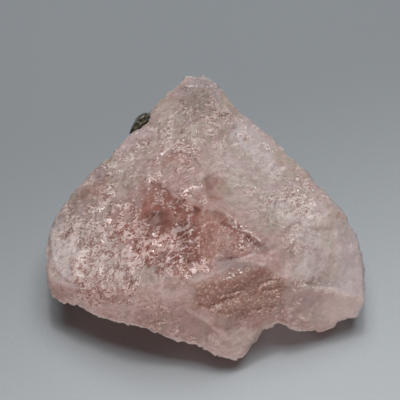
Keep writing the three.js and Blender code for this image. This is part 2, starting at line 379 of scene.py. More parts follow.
# Soft oval patches that add to the same layers, and to warm (rosier), or take away. Each is
# (across, rise, half width, half height, strength).
PATCHES = {
    "clear": [
        (-0.18, -0.1, 0.5, 0.32, 0.4),
        (0.12, -0.14, 0.35, 0.24, 0.15),
        (-0.64, -0.66, 0.32, 0.08, 0.15),
        (-0.2, -0.68, 0.3, 0.16, 0.15),
        (-0.55, 0.15, 0.3, 0.16, 0.2),
        (-0.53, -0.07, 0.12, 0.14, 0.35),
        (-0.3, -0.04, 0.08, 0.06, 0.3),
        (-0.38, -0.47, 0.08, 0.08, 0.3),
        (-0.28, -0.08, 0.1, 0.06, 0.3),
        (-0.38, -0.15, 0.08, 0.06, 0.2),
        (-0.66, -0.57, 0.2, 0.07, -0.3),
    ],
    "frost": [
        (-0.35, 0.45, 0.32, 0.3, 0.22),
        (-0.02, 0.45, 0.25, 0.3, 0.2),
        (0.3, 0.4, 0.22, 0.35, 0.2),
        (0.45, 0.15, 0.35, 0.2, 0.15),
        (-0.55, -0.05, 0.45, 0.25, 0.4),
        (-0.1, 0.12, 0.16, 0.08, 0.3),
        (-0.45, -0.62, 0.4, 0.14, 0.12),
        (0.2, 0.1, 0.2, 0.1, 0.15),
        (-0.3, -0.2, 0.25, 0.12, 0.15),
        (-0.56, -0.42, 0.16, 0.1, 0.25),
        (-0.03, -0.36, 0.07, 0.07, 0.4),
        (-0.62, 0.22, 0.16, 0.12, 0.25),
        (-0.35, -0.8, 0.32, 0.11, 0.25),
        (-0.08, -0.88, 0.2, 0.08, 0.2),
        (0.55, -0.68, 0.14, 0.12, 0.25),
        (-0.28, -0.07, 0.1, 0.06, -0.45),
        (-0.38, -0.15, 0.08, 0.06, -0.25),
        (-0.64, -0.58, 0.22, 0.06, 0.5),
        (-0.1, -0.05, 0.07, 0.06, 0.35),
        (0.4, -0.46, 0.08, 0.06, 0.35),
        (0.2, -0.57, 0.08, 0.05, 0.4),
    ],
    "grey": [
        (-0.02, 0.92, 0.25, 0.15, 0.3),
        (-0.24, 0.68, 0.1, 0.22, 0.4),
        (0.27, 0.6, 0.1, 0.22, 0.4),
        (0.93, -0.5, 0.12, 0.45, 0.6),
        (0.8, -0.35, 0.35, 0.4, 0.4),
        (0.35, 0.35, 0.35, 0.35, 0.3),
        (-0.9, -0.1, 0.12, 0.25, 0.4),
        (0.6, -0.65, 0.4, 0.2, 0.35),
        (-0.75, -0.4, 0.3, 0.25, 0.25),
    ],
    "pale": [
        (-0.85, -0.25, 0.22, 0.3, 0.5),
        (-0.67, -0.15, 0.12, 0.1, 0.5),
        (-0.5, -0.25, 0.4, 0.35, 0.2),
        (0.45, 0.1, 0.4, 0.3, 0.25),
        (0.85, -0.3, 0.35, 0.45, 0.3),
        (-0.3, -0.57, 0.28, 0.1, 0.6),
        (0.72, -0.2, 0.22, 0.2, 0.35),
        (-0.52, -0.38, 0.36, 0.2, 0.4),
        # Painted light on the lower front, which little light reaches.
        (0.15, -0.93, 0.3, 0.18, 0.65),
        (0.25, 0.4, 0.25, 0.35, 0.25),
        (-0.7, -0.65, 0.35, 0.12, 0.5),
        (0.08, 0.33, 0.16, 0.14, 0.3),
        (0.54, -0.37, 0.16, 0.09, 0.6),
        # Painted light on the lower lobe, which little light reaches.
        (0.72, -0.72, 0.2, 0.12, 0.5),
        (0.22, -0.36, 0.22, 0.06, 0.2),
        (0.9, -0.64, 0.2, 0.14, 0.6),
        (-0.72, -0.62, 0.18, 0.06, 0.4),
        (-0.56, -0.42, 0.16, 0.12, 0.3),
        (-0.18, -0.5, 0.14, 0.1, 0.4),
        (-0.48, -0.68, 0.1, 0.08, 0.3),
        (-0.62, -0.27, 0.1, 0.08, 0.4),
        (0.0, -0.68, 0.07, 0.06, 0.4),
        (0.48, 0.03, 0.12, 0.1, 0.4),
    ],
    "shade": [
        (-0.07, 0.8, 0.2, 0.18, 0.38),
        (0.32, -0.2, 0.1, 0.06, 0.6),
        (0.14, -0.35, 0.12, 0.06, 0.4),
        (0.22, -0.42, 0.2, 0.08, 0.4),
        (-0.3, -0.03, 0.08, 0.05, 0.4),
        (-0.25, -0.1, 0.2, 0.1, 0.2),
        (0.19, -0.68, 0.12, 0.07, 0.5),
        (0.55, 0.17, 0.14, 0.09, 0.25),
        (-0.68, 0.27, 0.1, 0.1, 0.55),
        (-0.8, 0.1, 0.08, 0.12, 0.35),
        (-0.88, -0.08, 0.1, 0.14, 0.5),
        (-0.53, -0.03, 0.12, 0.12, 0.25),
        (-0.24, -0.28, 0.14, 0.12, 0.4),
        (0.09, -0.32, 0.08, 0.08, 0.3),
        (-0.42, 0.12, 0.12, 0.1, 0.3),
        (-0.38, -0.15, 0.08, 0.07, 0.35),
        (0.0, 0.17, 0.08, 0.07, 0.3),
        (0.11, -0.2, 0.12, 0.14, 0.2),
        (0.9, -0.16, 0.12, 0.12, 0.3),
        (0.3, -0.36, 0.1, 0.05, 0.3),
        (0.2, 0.68, 0.08, 0.08, 0.3),
    ],
    "warm": [
        (-0.2, -0.12, 0.42, 0.32, 0.9),
        (0.1, -0.25, 0.35, 0.25, 0.25),
        (-0.62, -0.38, 0.3, 0.22, 0.3),
        (-0.6, -0.65, 0.45, 0.2, 0.4),
        (0.6, -0.68, 0.3, 0.2, 0.1),
        (-0.2, -0.58, 0.3, 0.12, 0.15),
        (0.4, -0.2, 0.15, 0.1, 0.4),
        (0.12, -0.6, 0.45, 0.3, 0.25),
        (-0.15, 0.3, 0.3, 0.2, 0.5),
        (0.2, -0.36, 0.3, 0.12, 0.5),
    ],
}

# The patch in which the step beside the front facet has healed over, so that its edge is soft.
HEALED_STEP = (0.46, -0.5, 0.08, 0.15, 1.0)

# --- Settings --------------------------------------------------------------------------------


def colour_setting(name, description, colour):
    return bpy.props.FloatVectorProperty(
        name=name, description=description, default=colour, subtype="COLOR", min=0.0, max=1.0
    )


def length_setting(name, description, millimetres):
    return bpy.props.FloatProperty(
        name=name,
        description=description,
        default=millimetres * MM,
        subtype="DISTANCE",
        unit="LENGTH",
        min=0.0,
        precision=5,
    )


def share_setting(name, description, share, highest=1.0):
    return bpy.props.FloatProperty(
        name=name, description=description, default=share, min=0.0, max=highest
    )


def power_setting(name, description, watts):
    return bpy.props.FloatProperty(
        name=name, description=description, default=watts, unit="POWER", min=0.0
    )


class MorganiteSettings(bpy.types.PropertyGroup):
    milk: colour_setting("Milky colour", "Colour of the cloudy body", (0.575, 0.435, 0.425))
    clear: colour_setting("Clear colour", "Colour where the eye sees in", (0.46, 0.2, 0.15))
    # The underside colour is painted shade, laid on faces that look down.
    underside_shade: colour_setting("Deep colour", "Colour under its overhangs", (0.36, 0.11, 0.065))
    frost: colour_setting("Frost colour", "Colour of the sugary breaks", (0.84, 0.755, 0.735))
    buff: colour_setting("Buff colour", "Colour of its warmer clouds", (0.5, 0.42, 0.36))
    # The glint colour is painted glint: the flecks are lightened to it, besides their glossy coat.
    glint: colour_setting("Glint colour", "Colour of the bright flecks", (0.98, 0.8, 0.775))
    grey: colour_setting("Grey colour", "Colour of the cooler ends", (0.6, 0.53, 0.54))
    mesh_step: length_setting("Mesh step", "Size of the mesh that carries the relief", 0.266)
    broad_shells: length_setting("Broad shells", "Spacing of the broad breaks", 5.5)
    small_shells: length_setting("Small shells", "Spacing of the small breaks", 2.2)
    grains: length_setting("Grains", "Spacing of the sugary grains", 0.95)
    glint_grain: length_setting("Glint grain", "Spacing of the finest glinting grains", 0.2)
    glint_tilt: share_setting("Glint tilt", "How far the glinting grains lean", 1.0, 3.0)


class MicaSettings(bpy.types.PropertyGroup):
    dark: colour_setting("Dark colour", "Colour of the mica", (0.03, 0.027, 0.017))
    # The edge colour is a painted highlight, laid on the crests of the mica's leaves and chips.
    pale: colour_setting("Edge colour", "Colour of its worn edges", (0.24, 0.215, 0.15))
    mesh_step: length_setting("Mesh step", "Size of the mesh that carries the plates", 0.13)
    leaf: length_setting("Leaf", "Thickness of its split leaves", 0.3)


class StageSettings(bpy.types.PropertyGroup):
    floor: colour_setting("Floor colour", "Colour of the floor", (0.255, 0.284, 0.31))
    # The near colour is painted light: the floor is lightened towards the front.
    floor_lit: colour_setting("Near colour", "Colour of the near floor", (0.63, 0.695, 0.74))
    key_power: power_setting("Key power", "Power of the large soft light", 1.84)
    lamp_power: power_setting("Lamp power", "Power of the small light that glints", 0.4)
    card_power: power_setting("Card power", "Power of the low warm card in front", 0.5)
    fill: share_setting("Fill", "Strength of the light from all round", 0.05)


# --- Shader sums -----------------------------------------------------------------------------


class Signal:
    """A node's output that can take part in sums. Each operator adds the node that does it."""

    def __init__(self, recipe, socket):
        self.recipe = recipe
        self.socket = socket

    def joined(self, operation, other, swapped=False):
        """A node that does the sum: Vector Math if either side is a vector or a colour."""
        pair = (other, self) if swapped else (self, other)
        vector = any(
            isinstance(x, tuple) or (isinstance(x, Signal) and x.socket.type in {"VECTOR", "RGBA"})
            for x in pair
        )
        kind = "ShaderNodeVectorMath" if vector else "ShaderNodeMath"
        return self.recipe.add(kind, {"operation": operation}, dict(enumerate(pair)))

    def __add__(self, other):
        return self.joined("ADD", other)

    def __radd__(self, other):
        return self.joined("ADD", other, swapped=True)

    def __sub__(self, other):
        return self.joined("SUBTRACT", other)

    def __rsub__(self, other):
        return self.joined("SUBTRACT", other, swapped=True)

    def __mul__(self, other):
        return self.joined("MULTIPLY", other)

    def __rmul__(self, other):
        return self.joined("MULTIPLY", other, swapped=True)


class Recipe:
    """The node tree of a material, written as sums."""

    def __init__(self, name):
        self.material = bpy.data.materials.new(name)
        self.material.use_nodes = True
        self.tree = self.material.node_tree
        self.tree.nodes.clear()

    def add(self, kind, settings=None, sockets=None, output=None):
        """Adds a node: its settings, then its sockets by name or number. Gives one output."""
        node = self.tree.nodes.new(kind)
        for key, value in (settings or {}).items():
            setattr(node, key, value)
        for key, value in (sockets or {}).items():
            socket = node.inputs[key]
            if isinstance(value, Signal):
                self.tree.links.new(value.socket, socket)
            elif hasattr(socket.default_value, "__len__") and not hasattr(value, "__len__"):
                socket.default_value = [value] * len(socket.default_value)
            else:
                socket.default_value = value
        if not node.outputs:
            return None
        if output is None:
            return Signal(self, next(socket for socket in node.outputs if socket.enabled))
        return Signal(self, node.outputs[output])

    def places(self):
        """The object's own coordinates, in mm."""
        own = self.add("ShaderNodeTexCoord", output="Object")
        return own * (1 / MM)

    def along_run(self, places, stretch):
        """The places turned to the stone's run and drawn out along it."""
        return self.add(
            "ShaderNodeMapping",
            {"vector_type": "TEXTURE"},
            {"Vector": places, "Rotation": RUN_TURN.to_euler(), "Scale": (stretch, 1.0, 1.0)},
        )

    def attribute(self, name):
        """One of the layers that the mesh carries."""
        return self.add("ShaderNodeAttribute", {"attribute_name": name}, output="Fac")

    def noise(self, places, length, detail, distortion=0.0, output=0):
        """Noise that changes over the given length, in mm."""
        return self.add(
            "ShaderNodeTexNoise",
            {},
            {"Vector": places, "Scale": 1 / length, "Detail": detail, "Distortion": distortion},
            output=output,
        )

    def cells(self, places, length, output, feature="F1"):
        """Cells about the given length across, in mm."""
        return self.add(
            "ShaderNodeTexVoronoi",
            {"feature": feature},
            {"Vector": places, "Scale": 1 / length},
            output=output,
        )

    def red(self, colour):
        return self.add("ShaderNodeSeparateColor", {}, {0: colour}, output="Red")

    def ease(self, value, low, high, start=0.0, end=1.0):
        """Runs smoothly from start to end as value goes from low to high."""
        return self.add(
            "ShaderNodeMapRange",
            {"interpolation_type": "SMOOTHSTEP", "clamp": True},
            {"Value": value, "From Min": low, "From Max": high, "To Min": start, "To Max": end},
        )

    def blend(self, share, first, second):
        """Mixes two colours: the first where share is 0 and the second where it is 1."""
        return self.add(
            "ShaderNodeMix",
            {"data_type": "RGBA", "clamp_factor": True},
            {0: share, 6: first, 7: second},
            output=2,
        )

    def bump(self, height, distance, **sockets):
        return self.add("ShaderNodeBump", {}, {"Height": height, "Distance": distance, **sockets})

    def principled(self, **sockets):
        named = {key.replace("_", " "): value for key, value in sockets.items()}
        return self.add("ShaderNodeBsdfPrincipled", {}, named)

    def finish(self, surface, volume=None):
        ends = {"Surface": surface}
        if volume:
            ends["Volume"] = volume
        self.add("ShaderNodeOutputMaterial", {}, ends)
        return self.material


def rgba(colour):
    return (*colour, 1.0)


# --- Meshes ----------------------------------------------------------------------------------


def remeshed_copy(node, name, step, rounds):
    """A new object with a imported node's shape in an even mesh, and its relaxed points in mm."""
    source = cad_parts[node]
    rough = bpy.data.objects.new(name, source.data.copy())
    bpy.context.scene.collection.objects.link(rough)
    remesh = rough.modifiers.new("Even mesh", "REMESH")
    remesh.mode = "VOXEL"
    remesh.voxel_size = step
    depsgraph = bpy.context.evaluated_depsgraph_get()
    even = bpy.data.meshes.new_from_object(rough.evaluated_get(depsgraph))
    rough.modifiers.clear()
    rough.data = even
    even.name = name
    even.materials.clear()
    points = relaxed(even, vertex_array(even) / MM, rounds)
    set_vertices(even, points * MM)
    return rough, points


def vertex_array(mesh, field="co"):
    found = np.empty(len(mesh.vertices) * 3)
    mesh.vertices.foreach_get(field, found)
    return found.reshape(-1, 3)


def set_vertices(mesh, points):
    mesh.vertices.foreach_set("co", points.ravel())
    mesh.update()


def relaxed(mesh, points, rounds, amount=1.0):
    """The mesh's points, each moved half way to the middle of its neighbours, times its amount."""
    edges = np.empty(len(mesh.edges) * 2, dtype=int)
    mesh.edges.foreach_get("vertices", edges)
    ends = np.concatenate([edges[0::2], edges[1::2]])
    others = np.concatenate([edges[1::2], edges[0::2]])
    count = np.bincount(ends, minlength=len(points))
    for _ in range(rounds):
        middle = [np.bincount(ends, axis[others], len(points)) / count for axis in points.T]
        points = points + 0.5 * amount * (np.stack(middle, axis=1) - points)
    return points


def finish_mesh(mesh, points, layers, material):
    """Gives the mesh its last points, its layers, smooth shading and its material."""
    set_vertices(mesh, points * MM)
    for name, values in layers.items():
        layer = mesh.attributes.new(name, "FLOAT", "POINT")
        layer.data.foreach_set("value", np.clip(values, 0, 1).astype(np.float32))
    mesh.polygons.foreach_set("use_smooth", [True] * len(mesh.polygons))
    mesh.materials.append(material)


def smooth(value, low, high):
    """Runs smoothly from 0 to 1 as value goes from low to high."""
    share = np.clip((value - low) / (high - low), 0, 1)
    return share * share * (3 - 2 * share)


# --- Relief ----------------------------------------------------------------------------------

TABLE_SIDE = 40
NEIGHBOURS = list(itertools.product((-1, 0, 1), repeat=3))
CORNERS = list(itertools.product((0, 1), repeat=3))

# Kinds of shell-shaped flakes: how much they lean, how hollow they are, and their random seed.
BROAD_SHELLS = {"slope": 0.16, "hollow": 0.1, "seed": 21}
SMALL_SHELLS = {"slope": 0.45, "hollow": 0.12, "seed": 22}
GRAINS = {"slope": 0.6, "hollow": 0.12, "seed": 23}
MICA_CHIPS = {"slope": 0.35, "hollow": 0.25, "seed": 31}
FLAKE_STRETCH = 1.35  # how much longer they are along the run than across it

# How the edges on the chart wander: how far and over what length, in mm, and the random seeds
# of its two directions. Facets, ledges and ribs take only LINE_DRIFT of it.
DRIFTS = ((0.9, 3.2, (11, 12)), (0.35, 1.1, (13, 14)))
LINE_DRIFT = 0.5


def draws(seed, kinds):
    """A block of random numbers that repeats every TABLE_SIDE cells."""
    return np.random.default_rng(seed).random((TABLE_SIDE,) * 3 + (kinds,))


def wander(points, length, seed):
    """Smooth noise from -1 to 1 that changes over the given length."""
    table = draws(seed, 1)[..., 0]
    scaled = points / length
    cell = np.floor(scaled).astype(int)
    share = smooth(scaled - cell, 0, 1)
    total = np.zeros(len(points))
    for corner in CORNERS:
        weight = np.prod(np.where(corner, share, 1 - share), axis=1)
        total += weight * table[tuple(((cell + corner) % TABLE_SIDE).T)]
    return total * 2 - 1


def edge_drift(points):
    """How far the edges on the chart wander at each point, in mm."""
    return sum(
        reach * np.stack([wander(points, length, seed) for seed in seeds], axis=1)
        for reach, length, seeds in DRIFTS
    )


def shells(points, spacing, slope, hollow, seed):
    """Height in mm where shell-shaped flakes of about this spacing have come away."""
    table = draws(seed, 6)  # three numbers for a flake's place and three for its lean
    squeeze = (1 / FLAKE_STRETCH - 1) * np.outer(points @ RUN, RUN)
    scaled = (points + squeeze) / spacing
    cell = np.floor(scaled).astype(int)
    lowest = np.full(len(points), np.inf)
    for step in NEIGHBOURS:
        near = cell + step
        draw = table[tuple((near % TABLE_SIDE).T)]
        away = scaled - near - draw[:, :3]
        lean = 2 * slope * (away * (draw[:, 3:] - 0.5)).sum(axis=1)
        lowest = np.minimum(lowest, lean + hollow * (away**2).sum(axis=1))
    return spacing * (lowest - lowest.mean())


# How squarely a face looks some way, as a cosine, while each of these comes in.
FACES_OUT = (0.05, 0.3)  # it faces out of the chart
OFF_RIM = (0.1, 0.55)  # it faces out too squarely to be part of the rim
LOOKS_FORWARD = (0.2, 0.7)
LOOKS_DOWN = (0.45, 0.9)
LEANS_IN = (-0.2, 0.15)  # it is on a wall that no longer looks up

PATCH_REACH, PATCH_EDGE = 1.25, 0.9  # a patch's outer limit and soft edge, in its half sizes
LINE_ENDS = 0.2  # the share of a line's length over which it fades at each end
TINY = 1e-9  # keeps a level side of an outline from dividing by zero


class Chart:
    """Where each point of the stone lies on the chart, and how squarely it faces out of it."""

    def __init__(self, points, normals):
        rise = points @ CHART_RISE
        self.half_across = np.ptp(points[:, 0]) / 2
        self.half_rise = np.ptp(rise) / 2
        middle = (points[:, 0].min() + self.half_across, rise.min() + self.half_rise)
        self.flat = np.stack([points[:, 0] - middle[0], rise - middle[1]], axis=1)
        self.facing = smooth(normals @ CHART_OUT, *FACES_OUT)
        self.rim = 1 - smooth(normals @ CHART_OUT, *OFF_RIM)
        self.front = self.rim * smooth(-normals[:, 1], *LOOKS_FORWARD)

    def on_chart(self, place):
        return np.array([place[0] * self.half_across, place[1] * self.half_rise])

    def patch(self, patch, drift):
        """A soft oval patch, with its edge shifted by drift, in mm."""
        across, rise, wide, high, strength = patch
        away = (self.flat + drift - self.on_chart((across, rise))) / self.on_chart((wide, high))
        return strength * smooth(PATCH_REACH - np.hypot(*away.T), 0, PATCH_EDGE) * self.facing

    def facet(self, outline, soft, drift):
        """1 inside the outline and 0 outside it, with a soft edge."""
        closed = outline + outline[:1]
        distance, _, _ = self.from_line(closed, drift)
        flat = self.flat + drift
        inside = np.zeros(len(flat), dtype=bool)
        for start, end in itertools.pairwise(map(self.on_chart, closed)):
            spans = (start[1] > flat[:, 1]) != (end[1] > flat[:, 1])
            share = (flat[:, 1] - start[1]) / (end[1] - start[1] + TINY)
            inside ^= spans & (flat[:, 0] < start[0] + share * (end[0] - start[0]))
        return smooth(np.where(inside, distance, -distance), -soft / 2, soft / 2) * self.facing

    def from_line(self, line, drift):
        """Distance in mm from a line, its right-hand side as +1, and 1 that fades at its ends."""
        places = [self.on_chart(place) for place in line]
        flat = self.flat + drift
        nearest = np.full(len(flat), np.inf)
        side = np.zeros(len(flat))
        along = np.zeros(len(flat))
        for number, (start, end) in enumerate(itertools.pairwise(places)):
            run = end - start
            share = np.clip((flat - start) @ run / (run @ run), 0, 1)
            gap = flat - start - share[:, None] * run
            distance = np.hypot(*gap.T)
            closer = distance < nearest
            nearest[closer] = distance[closer]
            side[closer] = np.sign(run[1] * gap[closer, 0] - run[0] * gap[closer, 1])
            along[closer] = (number + share[closer]) / (len(places) - 1)
        ends = smooth(np.minimum(along, 1 - along), 0, LINE_ENDS)
        return nearest, side, ends


# What each kind of wall adds to the stone's layers. The pale of the rim, front and leaning-in
# walls is painted light, for light that comes through the stone's edges and steep front, and
# "below" on the underside is painted shade.
WALLS = {
    "all": {"frost": 0.22},
    "rim": {"frost": 0.3, "pale": 0.3},
    "front": {"pale": 0.25},
    "far": {"grey": 1.0},
    "leaning_in": {"pale": 0.7, "grey": 0.4},
    "underside": {"below": 1.0},
}
FAR_SHARES = (0.25, 0.65)  # how much of a far wall counts: at least, and more as it faces out

# Stretches beside a ledge's line, in mm: the step down, the lip above it, and where the painted
# shade of the foot and the lip fade out.
STEP_DOWN = (-0.1, 0.25)
LIP_UP = (-0.2, 0.1)
FOOT_FADE = (0.2, 0.7)
LIP_FADE = (0.2, 0.9)

BASE_FLAT, BASE_FULL = 0.15, 1.6  # mm above the cleavage face where the relief starts and is full
BED_CLEAR = 1.4  # mm round the mica that stay free of relief

# The depth of each kind of flake in mm, and the least share of it, where the stone isn't sugary.
BROAD_DEPTH = 0.3
SMALL_DEPTH, SMALL_LEAST = 0.5, 0.1
GRAIN_DEPTH, GRAIN_LEAST = 0.38, 0.08
RIM_GRAIN, FRONT_GRAIN = 0.35, 0.4  # how much deeper in mm the grains are on those walls
SMALL_CREST, GRAIN_CREST = 0.12, 0.2  # how much each kind counts in the crest layer

# The stone's layers: those of the facets and patches, then the veins on its ribs, the lips of its
# ledges, the crests of its flakes, and the painted shade of its underside.
LAYERS = (
    "clear", "frost", "grey", "sheer", "pale", "shade", "warm", "olive", "vein", "lip", "crest",
    "below",
)


def laid_layers(chart, normals, drift):
    """The stone's named layers, from its walls, patches and facets."""
    layers = {name: np.zeros(len(normals)) for name in LAYERS}
    least, more = FAR_SHARES
    walls = {
        "all": 1,
        "rim": chart.rim,
        "front": chart.front,
        "far": (least + more * chart.facing) * (chart.rim - chart.front),
        "leaning_in": chart.front * smooth(-normals[:, 2], *LEANS_IN),
        "underside": smooth(-normals[:, 2], *LOOKS_DOWN),
    }
    for wall, amounts in WALLS.items():
        for name, amount in amounts.items():
            layers[name] += amount * walls[wall]
    for name, patches in PATCHES.items():
        for patch in patches:
            layers[name] += chart.patch(patch, drift)
    for facet in FACETS.values():
        inside = chart.facet(facet["outline"], facet["soft"], LINE_DRIFT * drift)
        for name in layers.keys() & facet.keys():
            layers[name] += facet[name] * inside
    return layers


def cut_lines(chart, layers, drift):
    """How far the ledges and ribs move each point, in mm. They add to the layers too."""
    moved = np.zeros(len(drift))
    for ledge in LEDGES.values():
        distance, side, ends = chart.from_line(ledge["line"], LINE_DRIFT * drift)
        below = smooth(side * distance, *STEP_DOWN) * ends * chart.facing
        fade = 1 - smooth(distance, 0, ledge["reach"])
        moved -= ledge["drop"] * below * fade
        layers["clear"] += ledge["clear"] * below * fade
        # Painted shade at the foot of the step.
        layers["shade"] += ledge["dark"] * below * (1 - smooth(distance, *FOOT_FADE))
        # The lip, which glints: a painted glint in the colour and a glossier coat where the stone is
        # sheer.
        lip = smooth(-side * distance, *LIP_UP) * (1 - smooth(distance, *LIP_FADE))
        layers["lip"] += ledge["glint"] * lip * ends * chart.facing
    for rib in RIBS.values():
        distance, _, ends = chart.from_line(rib["line"], LINE_DRIFT * drift)
        crest = np.exp(-((distance / rib["width"]) ** 2)) * ends * chart.facing
        moved += rib["height"] * crest
        layers["vein"] += crest
    return moved


def stone_relief(points, normals, settings):
    """How far each point moves along its normal, in mm, and the stone's named layers."""
    chart = Chart(points, normals)
    drift = edge_drift(points)
    layers = laid_layers(chart, normals, drift)
    moved = cut_lines(chart, layers, drift)
    frost = np.clip(layers["frost"], 0, 1)
    flakes = shells(points, settings.small_shells / MM, **SMALL_SHELLS)
    grains = shells(points, settings.grains / MM, **GRAINS)
    moved += BROAD_DEPTH * shells(points, settings.broad_shells / MM, **BROAD_SHELLS)
    flake_share = SMALL_LEAST + (1 - SMALL_LEAST) * frost
    grain_share = GRAIN_LEAST + (1 - GRAIN_LEAST) * frost
    moved += flake_share * SMALL_DEPTH * flakes + grain_share * GRAIN_DEPTH * grains
    moved += (RIM_GRAIN * chart.rim + FRONT_GRAIN * chart.front) * grains
    crest = 0.5 + flakes / np.std(flakes) * SMALL_CREST
    layers["crest"] += crest + grains / np.std(grains) * GRAIN_CREST
    return moved, layers


STONE_ROUNDS, HEALING_ROUNDS = 6, 140  # of relaxing the mesh, all over and at the healed step


def build_stone(settings):
    step = settings.mesh_step
    stone, points = remeshed_copy("morganite", "morganite_chunk", step, STONE_ROUNDS)
    mesh = stone.data
    healed = Chart(points, vertex_array(mesh, "normal")).patch(HEALED_STEP, 0)[:, None]
    points = relaxed(mesh, points, HEALING_ROUNDS, healed)
    set_vertices(mesh, points * MM)
    normals = vertex_array(mesh, "normal")
    moved, layers = stone_relief(points, normals, settings)
    low, high = (np.array(corner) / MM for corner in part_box("mica_crust"))
    outside = np.linalg.norm(np.maximum(np.maximum(low - points, points - high), 0), axis=1)
    free = smooth(points[:, 2], BASE_FLAT, BASE_FULL) * smooth(outside, 0, BED_CLEAR)
    points += (free * moved)[:, None] * normals
    points[:, 2] = np.maximum(points[:, 2], 0)
    finish_mesh(mesh, points, layers, stone_material(settings))
    return stone


MICA_ROUNDS = 2
MICA_STACK = np.array([-0.55, 0.4, 0.7])  # the way its leaves are stacked
CHIP_SPACING, CHIP_DEPTH, LEAF_DEPTH = 0.9, 0.5, 0.05  # mm
LEAF_HIGHLIGHT, CHIP_HIGHLIGHT = 0.25, 0.15  # how much its leaves and chips count in its painted highlight


def build_mica(settings):
    mica, points = remeshed_copy("mica_crust", "mica_plates", settings.mesh_step, MICA_ROUNDS)
    mesh = mica.data
    chips = shells(points, CHIP_SPACING, **MICA_CHIPS)
    leaves = np.sin(points @ MICA_STACK * 2 * math.pi * MM / settings.leaf)
    # Painted highlight: the mica is lighter where its leaves and chips crest.
    worn = 0.5 + LEAF_HIGHLIGHT * leaves + CHIP_HIGHLIGHT * chips / np.std(chips)
    points += (CHIP_DEPTH * chips + LEAF_DEPTH * leaves)[:, None] * vertex_array(mesh, "normal")
    finish_mesh(mesh, points, {"worn": worn}, mica_material(settings))
    return mica


# --- Materials -------------------------------------------------------------------------------

BERYL_IOR = 1.58
MICA_IOR = 1.6
WARM_TINT = (1.0, 0.87, 0.85)
OLIVE_TINT = (1.0, 1.0, 0.85)
GLASS_TINT = (0.95, 0.72, 0.66)  # of the part that is plainly see-through
INNER_TINT = (0.86, 0.5, 0.42)  # what light takes on inside the stone
ABSORPTION = 90.0  # per metre
SCATTER_DEPTH = 3.0 * MM
SCATTER_SHARES = (1.0, 0.85, 0.82)  # of that depth, for red, green and blue light
COARSE_GRAIN = 3.6  # how much wider the coarse glinting grains are than the fine ones
GRIT_DEPTH = 0.15 * MM
GROOVE_DEPTH = 0.03 * MM  # of the mica

# Painted light: the floor lightens along a direction, between two distances in mm, with a
# ragged edge.
PAINTED_LIGHT_ALONG = (0.3, -1.0, 0.0)
PAINTED_LIGHT_FROM, PAINTED_LIGHT_TO, RAGGED = -35.0, 80.0, 12.0


